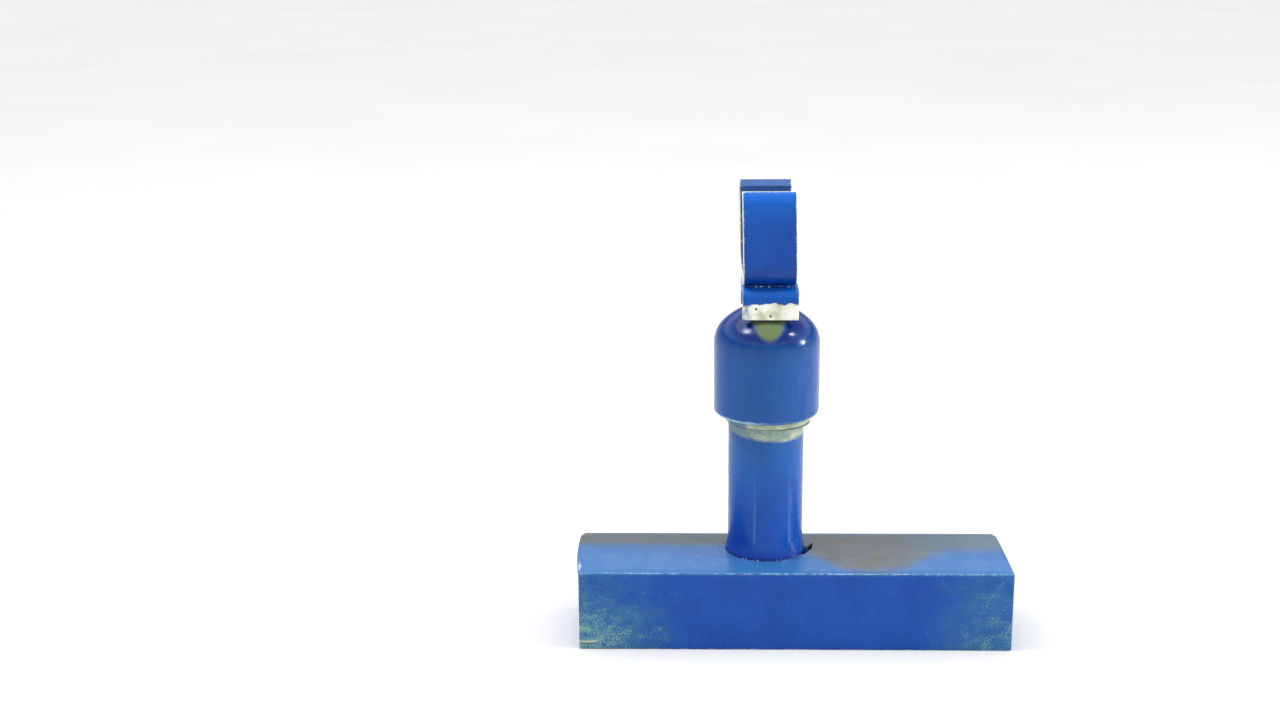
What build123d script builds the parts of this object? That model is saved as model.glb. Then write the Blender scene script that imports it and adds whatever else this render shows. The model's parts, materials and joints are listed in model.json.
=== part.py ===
from build123d import *
import math
import os

# Home-made stand for a soldering iron, glued up from flattened PVC sheet, a length of 20 mm conduit,
# a domed conduit cap with a reducing bush, and two bent strips. Millimetres, +Z up.
# The origin is the middle of the underside of the base; the long side runs along X, the front is -Y.

# ---- base box
BASE_LENGTH = 113.6
BASE_DEPTH = 30.0
BASE_HEIGHT = 21.5  # to the long edges of the top panel
SHEET = 1.6  # flattened pipe wall
BOTTOM_SHEET = 1.9
TOP_CROWN = 0.5  # the top panel keeps some of the pipe's curl
TOP_END_BOW = 1.2  # hand-cut left end of the top panel, bulging past the end wall
TOP_END_SKEW = 0.8  # and still this far past it at the back
TOP_CORNER = 1.8  # worn back corners of the top panel

# ---- post
POST_OD = 20.0
POST_WALL = 1.9
POST_X = -7.4
POST_BACK_GAP = 0.1  # the post stands against the back wall, inside the box
POST_TOP = 76.0
HOLE_CLEARANCE = 0.4  # radial, hole in the top panel round the post
FOOT_FLARE = 0.85  # how far the foot cement spreads past the post
FOOT_RISE = 4.6

# ---- head: domed cap with a bush at its mouth
HEAD_OD = 27.8
HEAD_BOTTOM = 60.0
HEAD_EDGE = 1.5  # rounding of the lower rim
SHOULDER_Z = 79.3  # where the straight side turns into the dome
DOME_RISE = 10.2
DOME_CORNER = 7.6  # radius at the shoulder, tangent to the flatter crown
DOME_WALL = 2.6
SOCKET_D = 22.3
BUSH_BOTTOM = 58.3
BUSH_LENGTH = 16.0
SWIVEL_CLEARANCE = 0.05  # radial, post in bush
AXIAL_PLAY = 0.05  # post top to the stop inside the head
STOP_WIDTH = 1.0

# ---- clip
HANDLE_D = 18.3  # iron handle that the clip holds
GRIP_CLEARANCE = 0.05
STRIP = 2.0
BAND_WIDTH = 13.8
SADDLE_WIDTH = 14.5
SADDLE_SHIFT = 0.5  # the saddle sits a little to the right of the band
SADDLE_SPAN = 20.0
SADDLE_BOTTOM = 87.4
SADDLE_TOP = 95.3
SADDLE_BEND = 2.6
CEMENT_BED = 0.3
FLOOR_BEND = 5.5  # bends between the clip's flat floor and its legs, to the middle of the strip
STAND_HEIGHT = 120.5
LIP_BEND = 4.0  # to the middle of the strip
LIP_ANGLE = 50.0
CEMENT_INSET = 0.7

# ---- derived
POST_R = POST_OD / 2
POST_Y = BASE_DEPTH / 2 - SHEET - POST_R - POST_BACK_GAP
HEAD_R = HEAD_OD / 2
SOCKET_R = SOCKET_D / 2
HOLE_R = POST_R + HOLE_CLEARANCE
WALL_TOP = BASE_HEIGHT - SHEET
GRIP_R = HANDLE_D / 2 + GRIP_CLEARANCE
CLIP_Z = SADDLE_TOP + CEMENT_BED + GRIP_R + STRIP
MID_R = GRIP_R + STRIP / 2
LIP_Z = STAND_HEIGHT - (LIP_BEND + STRIP / 2) * math.sin(math.radians(LIP_ANGLE))
STOP_Z = POST_TOP + AXIAL_PLAY
CORNER_X = HEAD_R - DOME_CORNER
CROWN_R = (CORNER_X**2 + DOME_RISE**2 - DOME_CORNER**2) / (2 * (DOME_RISE - DOME_CORNER))
CROWN_Z = SHOULDER_Z + DOME_RISE - CROWN_R
POST_POS = (POST_X, POST_Y)


def block(x0, x1, y0, y1, z0, z1):
    return Pos((x0 + x1) / 2, (y0 + y1) / 2, (z0 + z1) / 2) * Box(x1 - x0, y1 - y0, z1 - z0)


def lathe(*edges):
    """Closed profile in the XZ plane, turned about the post's axis."""
    face = Plane.XZ * make_face(Curve() + list(edges))
    return Pos(POST_X, POST_Y, 0) * revolve(face, Axis.Z)


def ring(points):
    return lathe(*Polyline(*points, close=True).edges())


def prism(points, z0, z1):
    """Upright prism whose outline is given relative to the post's axis."""
    face = make_face(Polyline(*points, close=True))
    return Pos(POST_X, POST_Y, z0) * extrude(face, z1 - z0)


def along_x(face, width, x):
    """Carries a face drawn as (depth, height) along X, centred at x."""
    return Pos(x - width / 2, POST_Y, 0) * extrude(Plane.YZ * face, width)


# ---- base
def bottom_panel():
    return block(-BASE_LENGTH / 2, BASE_LENGTH / 2, -BASE_DEPTH / 2, BASE_DEPTH / 2, 0, BOTTOM_SHEET)


def long_wall(side):
    outer = side * BASE_DEPTH / 2
    inner = side * (BASE_DEPTH / 2 - SHEET)
    return block(-BASE_LENGTH / 2, BASE_LENGTH / 2, min(outer, inner), max(outer, inner), BOTTOM_SHEET, WALL_TOP)


def end_wall(side):
    outer = side * BASE_LENGTH / 2
    inner = side * (BASE_LENGTH / 2 - SHEET)
    half = BASE_DEPTH / 2 - SHEET
    return block(min(outer, inner), max(outer, inner), -half, half, BOTTOM_SHEET, WALL_TOP)


# where the saw slipped beside the hole, given relative to the post's axis
NOTCH = [
    (9.5, 0.0),
    (11.2, 0.2),
    (12.0, 1.7),
    (13.1, 3.1),
    (12.9, 0.9),
    (12.6, -1.4),
    (11.7, -2.9),
    (11.0, -4.4),
    (10.2, -5.6),
    (9.5, -5.8),
]


def top_panel():
    half_l, half_d = BASE_LENGTH / 2, BASE_DEPTH / 2
    front = Line((-half_l, -half_d), (half_l, -half_d))
    right = Line((half_l, -half_d), (half_l, half_d))
    back_left = (-half_l - TOP_END_SKEW, half_d)
    back = Line((half_l, half_d), back_left)
    left = ThreePointArc(back_left, (-half_l - TOP_END_BOW, 0), (-half_l, -half_d))
    outline = make_face(Curve() + [front, right, back, left])
    outline = fillet(outline.vertices().group_by(Axis.Y)[-1], TOP_CORNER)
    panel = Pos(0, 0, WALL_TOP) * extrude(outline, SHEET + 2 * TOP_CROWN)
    crown_r = (half_d**2 + TOP_CROWN**2) / (2 * TOP_CROWN)
    axis_z = BASE_HEIGHT + TOP_CROWN - crown_r
    roller = Pos(0, 0, axis_z) * Rot(0, 90, 0) * Cylinder(crown_r, BASE_LENGTH * 2)
    panel = panel & roller
    hole = Pos(POST_X, POST_Y, BASE_HEIGHT) * Cylinder(HOLE_R, 20)
    return panel - hole - prism(NOTCH, WALL_TOP - 5, BASE_HEIGHT + 5)


# ---- post
def post_tube():
    r_in = POST_R - POST_WALL
    return ring([(r_in, BOTTOM_SHEET), (POST_R, BOTTOM_SHEET), (POST_R, POST_TOP), (r_in, POST_TOP)])


def foot_cement(top):
    """Slim cone of glue round the foot, filling the gap in the hole and part of the notch."""
    z, flare, rise = BASE_HEIGHT, FOOT_FLARE, FOOT_RISE
    collar = ring(
        [
            (POST_R, WALL_TOP),
            (POST_R + flare, WALL_TOP),
            (POST_R + flare, z + 0.7),
            (POST_R + flare * 0.55, z + 0.35 * rise),
            (POST_R + flare * 0.25, z + 0.7 * rise),
            (POST_R + flare * 0.12, z + rise),
            (POST_R, z + rise),
        ]
    )
    return collar - top


# ---- head
def neck_bush():
    r_in = POST_R + SWIVEL_CLEARANCE
    z0, z1 = BUSH_BOTTOM, BUSH_BOTTOM + BUSH_LENGTH
    return ring([(r_in, z0), (SOCKET_R, z0), (SOCKET_R, z1), (r_in, z1)])


def dome_edges():
    """Outside of the dome from the shoulder to the top: a tight corner arc, then the flatter crown."""
    turn = math.degrees(math.atan2(SHOULDER_Z - CROWN_Z, CORNER_X))
    return [
        CenterArc((CORNER_X, SHOULDER_Z), DOME_CORNER, 0, turn),
        CenterArc((0, CROWN_Z), CROWN_R, turn, 90 - turn),
    ]


def head_shell():
    stop_r = POST_R - STOP_WIDTH
    edge_z = HEAD_BOTTOM + HEAD_EDGE
    top_out = SHOULDER_Z + DOME_RISE
    roof_r = CROWN_R - DOME_WALL
    roof_start = math.degrees(math.acos(stop_r / roof_r))
    roof_z = CROWN_Z + roof_r * math.sin(math.radians(roof_start))
    outside = [
        Line((SOCKET_R, HEAD_BOTTOM), (HEAD_R - HEAD_EDGE, HEAD_BOTTOM)),
        CenterArc((HEAD_R - HEAD_EDGE, edge_z), HEAD_EDGE, -90, 90),
        Line((HEAD_R, edge_z), (HEAD_R, SHOULDER_Z)),
    ]
    inside = [
        Line((0, top_out), (0, top_out - DOME_WALL)),
        CenterArc((0, CROWN_Z), roof_r, roof_start, 90 - roof_start),
        Line((stop_r, roof_z), (stop_r, STOP_Z)),
        Line((stop_r, STOP_Z), (SOCKET_R, STOP_Z)),
        Line((SOCKET_R, STOP_Z), (SOCKET_R, HEAD_BOTTOM)),
    ]
    return lathe(*outside, *dome_edges(), *inside)


def dome_cutter():
    """Solid of the dome's outside, for what is glued on it."""
    z0, top = SHOULDER_Z - 5, SHOULDER_Z + DOME_RISE
    return lathe(
        Line((0, z0), (HEAD_R, z0)),
        Line((HEAD_R, z0), (HEAD_R, SHOULDER_Z)),
        *dome_edges(),
        Line((0, top), (0, z0)),
    )


# ---- clip
def bent_edge(offset):
    """Right half of the clip's line at an offset from the strip's middle, bottom to lip: (edges, end)."""
    r = MID_R + offset
    floor_y, floor_z = MID_R - FLOOR_BEND, CLIP_Z - MID_R + FLOOR_BEND
    bend = LIP_BEND + offset
    bend_y = MID_R - LIP_BEND
    a = math.radians(LIP_ANGLE)
    end = (bend_y + bend * math.cos(a), LIP_Z + bend * math.sin(a))
    edges = [
        Line((0, CLIP_Z - r), (floor_y, CLIP_Z - r)),
        CenterArc((floor_y, floor_z), FLOOR_BEND + offset, -90, 90),
        Line((r, floor_z), (r, LIP_Z)),
        CenterArc((bend_y, LIP_Z), bend, 0, LIP_ANGLE),
    ]
    return edges, end


def clip_band():
    outer, outer_end = bent_edge(STRIP / 2)
    inner, inner_end = bent_edge(-STRIP / 2)
    edges = outer + inner + [Line(outer_end, inner_end)]
    bottom = Line((0, CLIP_Z - MID_R - STRIP / 2), (0, CLIP_Z - MID_R + STRIP / 2))
    half = make_face(Curve() + edges + [bottom])
    return along_x(half + mirror(half, Plane.YZ), BAND_WIDTH, POST_X)


def clip_saddle(dome):
    height = SADDLE_TOP - SADDLE_BOTTOM
    middle = SADDLE_BOTTOM + height / 2
    outer = Pos(0, middle) * Rectangle(SADDLE_SPAN, height)
    outer = fillet(outer.vertices().group_by(Axis.Y)[-1], SADDLE_BEND)
    inner = Pos(0, middle - STRIP) * Rectangle(SADDLE_SPAN - 2 * STRIP, height)
    inner = fillet(inner.vertices().group_by(Axis.Y)[-1], SADDLE_BEND - STRIP)
    strip = along_x(outer - inner, SADDLE_WIDTH, POST_X + SADDLE_SHIFT)
    return strip - dome


def saddle_cement(dome, saddle):
    half_w = SADDLE_WIDTH / 2 - CEMENT_INSET
    half_d = SADDLE_SPAN / 2 - STRIP
    x = POST_X + SADDLE_SHIFT
    fill = block(x - half_w, x + half_w, POST_Y - half_d, POST_Y + half_d, SADDLE_BOTTOM - 3, SADDLE_TOP - STRIP)
    return fill - dome - saddle


def band_cement(band):
    half_w = BAND_WIDTH / 2 - CEMENT_INSET
    half_d = 0.64 * (GRIP_R + STRIP)
    x = POST_X + SADDLE_SHIFT / 2
    z0 = SADDLE_TOP
    return block(x - half_w, x + half_w, POST_Y - half_d, POST_Y + half_d, z0, z0 + 1.0) - band


def main():
    top = top_panel()
    dome = dome_cutter()
    saddle = clip_saddle(dome)
    band = clip_band()
    nodes = {
        "base_bottom_panel": bottom_panel(),
        "base_front_panel": long_wall(-1),
        "base_back_panel": long_wall(1),
        "base_left_end": end_wall(-1),
        "base_right_end": end_wall(1),
        "base_top_panel": top,
        "post_tube": post_tube(),
        "post_foot_cement": foot_cement(top),
        "neck_bush": neck_bush(),
        "head_shell": head_shell(),
        "clip_saddle": saddle,
        "saddle_cement": saddle_cement(dome, saddle),
        "clip_band": band,
        "band_cement": band_cement(band),
    }
    os.makedirs("parts", exist_ok=True)
    for name, shape in nodes.items():
        export_step(shape, f"parts/{name}.step")


main()
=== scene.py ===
"""Looks of a home-made soldering iron stand: glued PVC panels, a conduit post, a domed cap and a strip clip,
all sprayed blue and worn back to the plastic here and there. Metres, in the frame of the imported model."""

import json
import math

import bmesh
import bpy
from mathutils import Matrix, Vector, noise


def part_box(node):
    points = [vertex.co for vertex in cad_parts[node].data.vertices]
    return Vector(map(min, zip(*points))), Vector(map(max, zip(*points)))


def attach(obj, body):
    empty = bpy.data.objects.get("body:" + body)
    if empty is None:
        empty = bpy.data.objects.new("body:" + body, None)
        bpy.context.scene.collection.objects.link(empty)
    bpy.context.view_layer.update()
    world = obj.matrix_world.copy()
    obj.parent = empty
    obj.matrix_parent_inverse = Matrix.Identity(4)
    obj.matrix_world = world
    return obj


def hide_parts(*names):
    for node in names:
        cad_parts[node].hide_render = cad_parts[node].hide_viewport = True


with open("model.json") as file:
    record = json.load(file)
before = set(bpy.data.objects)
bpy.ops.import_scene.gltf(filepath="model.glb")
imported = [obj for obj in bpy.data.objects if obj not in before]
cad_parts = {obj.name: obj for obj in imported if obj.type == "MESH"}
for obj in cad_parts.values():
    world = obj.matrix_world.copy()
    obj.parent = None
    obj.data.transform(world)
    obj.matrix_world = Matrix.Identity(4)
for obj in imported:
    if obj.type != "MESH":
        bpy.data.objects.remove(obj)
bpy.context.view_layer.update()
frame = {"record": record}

MM = 0.001
RECORD = frame["record"]
SWIVEL = RECORD["behaviour"]["joints"][0]["pos_m"]
AXIS = Vector((SWIVEL[0], SWIVEL[1], 0.0))
CLIP = next(m for m in RECORD["mounts"] if m["name"] == "iron_clip")

BASE_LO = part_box("base_bottom_panel")[0]
BASE_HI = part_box("base_bottom_panel")[1]
BOTTOM_TOP = BASE_HI.z
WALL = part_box("base_front_panel")[1].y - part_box("base_front_panel")[0].y
WALL_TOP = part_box("base_front_panel")[1].z
BASE_TOP = WALL_TOP + WALL
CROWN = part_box("base_top_panel")[1].z - BASE_TOP
END_BOW = BASE_LO.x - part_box("base_top_panel")[0].x - 0.1 * MM
HALF_DEPTH = (BASE_HI.y - BASE_LO.y) / 2
POST_LO, POST_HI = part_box("post_tube")
POST_R = (POST_HI.x - POST_LO.x) / 2
BUSH_LO, BUSH_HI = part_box("neck_bush")
BUSH_R = (BUSH_HI.x - BUSH_LO.x) / 2
HEAD_LO, HEAD_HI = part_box("head_shell")
HEAD_R = (HEAD_HI.x - HEAD_LO.x) / 2
SADDLE_LO, SADDLE_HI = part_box("clip_saddle")
BAND_LO, BAND_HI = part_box("clip_band")
GRIP_R = CLIP["dims"]["r_mm"] * MM
CLIP_Z = CLIP["pos_m"][2]
STRIP = (BAND_HI.y - BAND_LO.y) / 2 - GRIP_R
POST_WALL = 1.9 * MM
HOLE_SLACK = 0.4 * MM
RIM_ROUND = 1.5 * MM
DOME_RISE = 10.2 * MM
DOME_CORNER = 7.6 * MM
DOME_WALL = 2.6 * MM
POLE_R = 0.6 * MM
SADDLE_BEND = 2.6 * MM
FLOOR_BEND = 5.5 * MM
LIP_BEND = 4.0 * MM
LIP_ANGLE = 50.0
TOP_SKEW = 0.8 * MM
TOP_CORNER = 1.8 * MM


# ---------------------------------------------------------------- small helpers
def wobble(point, size, seed=0.0):
    """Smooth noise about 0, within about 1, whose lumps are size metres across."""
    return noise.noise(Vector(point) / size + Vector((seed, seed * 1.7, -seed)))


def object_from(name, bm, smooth_angle=35):
    bmesh.ops.recalc_face_normals(bm, faces=bm.faces)
    mesh = bpy.data.meshes.new(name)
    bm.to_mesh(mesh)
    bm.free()
    obj = bpy.data.objects.new(name, mesh)
    bpy.context.scene.collection.objects.link(obj)
    mesh.shade_smooth()
    mesh.set_sharp_from_angle(angle=math.radians(smooth_angle))
    return obj


def skin(name, loops, ring=False, smooth_angle=35):
    """Closed solid through loops of the same length, capped at its ends unless they go round in a ring."""
    bm = bmesh.new()
    rows = [[bm.verts.new(p) for p in loop] for loop in loops]
    pairs = list(zip(rows, rows[1:]))
    if ring:
        pairs.append((rows[-1], rows[0]))
    for a, b in pairs:
        for i in range(len(a)):
            j = (i + 1) % len(a)
            bm.faces.new((a[i], a[j], b[j], b[i]))
    if not ring:
        caps = [bm.faces.new(rows[0]), bm.faces.new(rows[-1])]
        for cap in caps:
            cap.normal_update()
        bmesh.ops.triangulate(bm, faces=caps, ngon_method="EAR_CLIP")
    return object_from(name, bm, smooth_angle)


def lathe(name, profile, segments, shift=None):
    """Solid turned about the post's axis from a closed (radius, height) profile.

    shift(angle, r, z) gives how far a point moves outwards and upwards."""
    loops = []
    for k in range(segments):
        angle = 2 * math.pi * k / segments
        out = Vector((math.cos(angle), math.sin(angle), 0))
        loop = []
        for r, z in profile:
            dr, dz = shift(angle, r, z) if shift else (0, 0)
            loop.append(AXIS + out * (r + dr) + Vector((0, 0, z + dz)))
        loops.append(loop)
    return skin(name, loops, ring=True)


def arc(cx, cy, r, start, end, steps):
    """Points along an arc, angles in degrees, both ends included."""
    return [
        (
            cx + r * math.cos(math.radians(start + (end - start) * k / steps)),
            cy + r * math.sin(math.radians(start + (end - start) * k / steps)),
        )
        for k in range(steps + 1)
    ]


def run(a, b, steps):
    """Points from a towards b, without the last."""
    return [(a[0] + (b[0] - a[0]) * k / steps, a[1] + (b[1] - a[1]) * k / steps) for k in range(steps)]


def stand_for(obj, node, body, material):
    obj.data.materials.append(material)
    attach(obj, body)
    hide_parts(node)
    return obj


# ---------------------------------------------------------------- node helper
class Shade:
    """A material's nodes. Every method returns the output socket of a new node."""

    def __init__(self, name):
        self.material = bpy.data.materials.new(name)
        self.material.use_nodes = True
        self.tree = self.material.node_tree
        self.shader = self.tree.nodes["Principled BSDF"]
        self.place = self.node("ShaderNodeTexCoord").outputs["Object"]

    def node(self, kind, **settings):
        made = self.tree.nodes.new(kind)
        for key, value in settings.items():
            setattr(made, key, value)
        return made

    def put(self, socket, value):
        if isinstance(value, bpy.types.NodeSocket):
            self.tree.links.new(value, socket)
        else:
            socket.default_value = value

    def math(self, operation, a, b=0.0, clamp=False):
        made = self.node("ShaderNodeMath", operation=operation, use_clamp=clamp)
        self.put(made.inputs[0], a)
        self.put(made.inputs[1], b)
        return made.outputs[0]

    def add(self, *terms):
        total = terms[0]
        for term in terms[1:]:
            total = self.math("ADD", total, term)
        return total

    def times(self, *terms):
        total = terms[0]
        for term in terms[1:]:
            total = self.math("MULTIPLY", total, term)
        return total

    def ramp(self, value, low, high, to_low=0.0, to_high=1.0):
        """Smooth step from to_low at low to to_high at high."""
        made = self.node("ShaderNodeMapRange", interpolation_type="SMOOTHSTEP")
        for key, number in (("From Min", low), ("From Max", high), ("To Min", to_low), ("To Max", to_high)):
            made.inputs[key].default_value = number
        self.put(made.inputs["Value"], value)
        return made.outputs["Result"]

    def noise(self, size, detail=3.0, roughness=0.55, stretch=(1, 1, 1), offset=0.0):
        """Noise of 0 to 1 with lumps about size metres across, drawn out along the axes by stretch."""
        mapping = self.node("ShaderNodeMapping")
        mapping.inputs["Scale"].default_value = [1 / (size * s) for s in stretch]
        mapping.inputs["Location"].default_value = (offset, offset * 0.7, -offset)
        self.put(mapping.inputs["Vector"], self.place)
        made = self.node("ShaderNodeTexNoise")
        made.inputs["Scale"].default_value = 1.0
        made.inputs["Detail"].default_value = detail
        made.inputs["Roughness"].default_value = roughness
        self.put(made.inputs["Vector"], mapping.outputs[0])
        return made.outputs["Fac"]

    def axis(self, letter):
        split = self.node("ShaderNodeSeparateXYZ")
        self.put(split.inputs[0], self.place)
        return split.outputs[letter]

    def attribute(self, name):
        return self.node("ShaderNodeAttribute", attribute_name=name).outputs["Fac"]

    def mix(self, share, a, b):
        made = self.node("ShaderNodeMix", data_type="RGBA")
        self.put(made.inputs[0], share)
        self.put(made.inputs[6], a if isinstance(a, bpy.types.NodeSocket) else (*a, 1.0))
        self.put(made.inputs[7], b if isinstance(b, bpy.types.NodeSocket) else (*b, 1.0))
        return made.outputs[2]

    def blend(self, share, a, b):
        """Number a where share is 0, b where it is 1."""
        made = self.node("ShaderNodeMix", data_type="FLOAT")
        self.put(made.inputs[0], share)
        self.put(made.inputs[2], a)
        self.put(made.inputs[3], b)
        return made.outputs[0]

    def bump(self, height, depth, normal=None):
        made = self.node("ShaderNodeBump")
        made.inputs["Strength"].default_value = 1.0
        made.inputs["Distance"].default_value = depth
        self.put(made.inputs["Height"], height)
        if normal is not None:
            self.put(made.inputs["Normal"], normal)
        return made.outputs[0]

    def finish(self, colour, roughness, normal):
        self.put(self.shader.inputs["Base Color"], colour)
        self.put(self.shader.inputs["Roughness"], roughness)
        self.put(self.shader.inputs["Normal"], normal)
        self.shader.inputs["IOR"].default_value = PAINT_IOR
        return self.material


# ---------------------------------------------------------------- colours (linear)
PAINT_IOR = 1.33
BLUE_DEEP = (0.0, 0.052, 0.315)
BLUE_LIGHT = (0.001, 0.078, 0.410)
# lighter blue for painted highlights on upward faces
HIGHLIGHT_BLUE = (0.006, 0.130, 0.560)
NAVY = (0.001, 0.016, 0.130)
# deeper blue, also painted shade in the crease under the band
DEEPER_BLUE = (0.001, 0.030, 0.280)
TEAL = (0.030, 0.150, 0.300)
PALE_GREEN = (0.270, 0.370, 0.240)
CREAM = (0.520, 0.540, 0.380)
BARE_WHITE = (0.860, 0.880, 0.770)
END_WHITE = (0.640, 0.680, 0.610)
SCUFF = (0.200, 0.400, 0.340)
BARE_GREEN = (0.120, 0.160, 0.050)
# grey-brown and grey-blue of painted reflections on the top and on the back of the band's lip
REFLECTED_BROWN = (0.095, 0.098, 0.080)
REFLECTED_BLUE = (0.085, 0.135, 0.180)
EDGE_PALE = (0.380, 0.560, 0.720)
EDGE_BLUE = (0.100, 0.230, 0.480)
# lighter blue for painted light on the base's top
TOP_LIT_BLUE = (0.030, 0.122, 0.285)
# near black for dark seam lines and dark specks, and for painted shade under the neck ring
NEAR_BLACK = (0.035, 0.040, 0.040)


def paint_colour(s):
    """Sprayed blue: a slow change between two blues, with a fine mottle."""
    slow = s.ramp(s.noise(14 * MM, 2.0), 0.35, 0.65)
    fine = s.noise(0.9 * MM, 4.0, 0.7)
    share = s.math("ADD", s.times(slow, 0.4), s.times(s.ramp(fine, 0.4, 0.75), 0.6), clamp=True)
    return s.mix(share, BLUE_DEEP, BLUE_LIGHT)


PAINT_ROUGHNESS = (0.20, 0.33)
BARE_ROUGHNESS = 0.52
PEEL_DEPTH = 0.035 * MM
FILM_DEPTH = 0.08 * MM


def paint_finish(s, colour, bare, gloss):
    """Roughness and bump that go with the paint, and with bare plastic where bare is 1."""
    smear = s.noise(5 * MM, 3.0, 0.6, offset=3.0)
    roughness = s.blend(bare, s.ramp(smear, 0.3, 0.7, *gloss), BARE_ROUGHNESS)
    peel = s.noise(1.6 * MM, 2.0, 0.5)
    grit = s.noise(0.35 * MM, 2.0, 0.5)
    height = s.add(s.times(peel, s.blend(bare, 1.0, 0.35)), s.times(grit, s.blend(bare, 0.12, 0.5)))
    film = s.times(bare, -1.0)
    normal = s.bump(film, FILM_DEPTH, s.bump(height, PEEL_DEPTH))
    return s.finish(colour, roughness, normal)


def painted(name, layers, gloss=PAINT_ROUGHNESS):
    """Blue paint; layers(s, colour) lays wear and painted light over it and returns the colour and how bare
    it is.
    """
    s = Shade(name)
    colour, bare = layers(s, paint_colour(s))
    return paint_finish(s, colour, bare, gloss)


def cut_edges(s, colour):
    """White plastic where the wear attribute says that an edge was cut or rubbed through; on the band also a
    painted highlight toward the lip tops and painted shade on the lower curve.
    """
    # painted highlight: lighter blue toward the tops of the band's lips, with a duller painted reflection on
    # the back lip
    lip_highlight = s.ramp(s.axis("Z"), BAND_HI.z - 10 * MM, BAND_HI.z - 1 * MM, 0.0, 0.6)
    back = s.ramp(s.axis("Y"), AXIS.y + 5 * MM, AXIS.y + 8 * MM)
    colour = s.mix(lip_highlight, colour, s.mix(s.times(back, 0.8), HIGHLIGHT_BLUE, REFLECTED_BLUE))
    # painted shade: navy over the band's lower curve, down to the saddle's top
    under = s.ramp(s.axis("Z"), SADDLE_HI.z + 8 * MM, SADDLE_HI.z + 0.5 * MM, 0.0, 0.6)
    below = s.ramp(s.axis("Z"), SADDLE_HI.z + 0.1 * MM, SADDLE_HI.z - 0.2 * MM, 1.0, 0.0)
    colour = s.mix(s.times(under, below), colour, NAVY)
    wear = s.attribute("wear")
    ragged = s.add(wear, s.times(s.noise(0.8 * MM, 4.0, 0.7), 0.7), -0.35)
    bare = s.ramp(ragged, 0.44, 0.58)
    handled = s.ramp(s.noise(2.2 * MM, 4.0, 0.65, offset=11.0), 0.36, 0.68, 0.0, 0.75)
    overspray = s.ramp(s.noise(0.7 * MM, 3.0, 0.7, offset=13.0), 0.60, 0.70, 0.0, 0.6)
    plastic = s.mix(overspray, s.mix(handled, END_WHITE, CREAM), EDGE_PALE)
    return s.mix(bare, colour, plastic), bare


def corner_scuff(s, colour, x, reach, strength):
    """Worn area on the front face near a lower corner at x: teal haze, then scattered pale green specks."""
    along = s.math("ABSOLUTE", s.math("SUBTRACT", s.axis("X"), x))
    near = s.ramp(along, 0.0, reach, 1.0, 0.0)
    low = s.ramp(s.axis("Z"), BOTTOM_TOP, BASE_TOP * 0.85, 1.0, 0.0)
    front = s.ramp(s.axis("Y"), BASE_LO.y + 1.2 * MM, BASE_LO.y + 0.4 * MM)
    amount = s.times(near, s.add(s.times(low, 0.6 * strength), 1 - 0.6 * strength), strength, front)
    cloud = s.ramp(s.noise(6 * MM, 3.0, 0.6, (1, 1, 0.7), 2.0), 0.30, 0.70)
    haze = s.times(s.ramp(amount, 0.02, 0.55), s.add(s.times(cloud, 0.65), 0.35))
    fine = s.noise(0.42 * MM, 3.0, 0.7, (1, 1, 1), 5.0)
    patches = s.noise(2.8 * MM, 3.0, 0.65, (1.3, 1, 0.8), 8.0)
    score = s.add(s.times(amount, 0.34), s.times(fine, 0.95), s.times(patches, 0.55))
    specks = s.times(s.ramp(score, 0.94, 1.14), 0.85)
    colour = s.mix(s.times(haze, 0.85), colour, TEAL)
    return s.mix(specks, colour, SCUFF), specks


def base_layers(s, colour):
    """Scuffed lower corners of the front, painted light and a painted reflection on the top, a seam line, and
    rubbed edges with a painted highlight along the front top edge.
    """
    colour = top_light_and_reflection(s, colour)
    colour, left = corner_scuff(s, colour, BASE_LO.x - 3 * MM, 40 * MM, 1.0)
    colour, right = corner_scuff(s, colour, BASE_HI.x - 5 * MM, 26 * MM, 0.56)
    wear = s.attribute("wear")
    ragged = s.ramp(s.add(wear, s.times(s.noise(1.1 * MM, 4.0, 0.7), 0.9), -0.45), 0.56, 0.78)
    # pale on rubbed edges, and a painted highlight along the front top edge
    rubbed = s.times(ragged, 0.85)
    colour = s.mix(rubbed, colour, s.mix(s.ramp(wear, 0.5, 0.8), EDGE_BLUE, EDGE_PALE))
    colour = seam_line(s, colour)
    bare = s.math("MAXIMUM", s.math("MAXIMUM", left, right), s.times(rubbed, 0.4))
    return colour, s.times(bare, 0.8)


def top_light_and_reflection(s, colour):
    """Painted light on the top: lighter blue all over it, and a painted reflection in grey-brown to grey-blue
    along the back, and right of the post nearly to the front.
    """
    x, y = s.axis("X"), s.axis("Y")
    up = s.ramp(s.axis("Z"), BASE_TOP - 0.9 * MM, BASE_TOP - 0.3 * MM)
    drift = s.times(s.add(s.noise(12 * MM, 3.0, 0.55, (2.4, 1, 1), 1.0), -0.5), 4 * MM)
    right = s.ramp(x, AXIS.x + 2 * MM, AXIS.x + 24 * MM)
    far_right = s.ramp(x, AXIS.x + 31 * MM, AXIS.x + 50 * MM)
    front_line = s.add(5.5 * MM, s.times(right, -18 * MM), s.times(far_right, 14 * MM))
    depth = s.add(y, s.times(front_line, -1.0), drift)
    band = s.ramp(depth, -4.5 * MM, 3.5 * MM)
    lighter = s.ramp(s.add(y, s.times(drift, 0.5)), 8 * MM, 15 * MM, 1.0, 0.45)
    # painted reflection: grey-brown to grey-blue film over the back of the top
    film = s.times(band, up, s.ramp(s.noise(3 * MM, 4.0, 0.6), 0.2, 0.7, 0.75, 0.97))
    # painted light: the whole top made a lighter blue
    colour = s.mix(s.times(up, 0.8), colour, TOP_LIT_BLUE)
    cool = s.math("MAXIMUM", s.math("SUBTRACT", 1.0, lighter), s.times(far_right, 0.7))
    return s.mix(film, colour, s.mix(cool, REFLECTED_BROWN, REFLECTED_BLUE))


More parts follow.
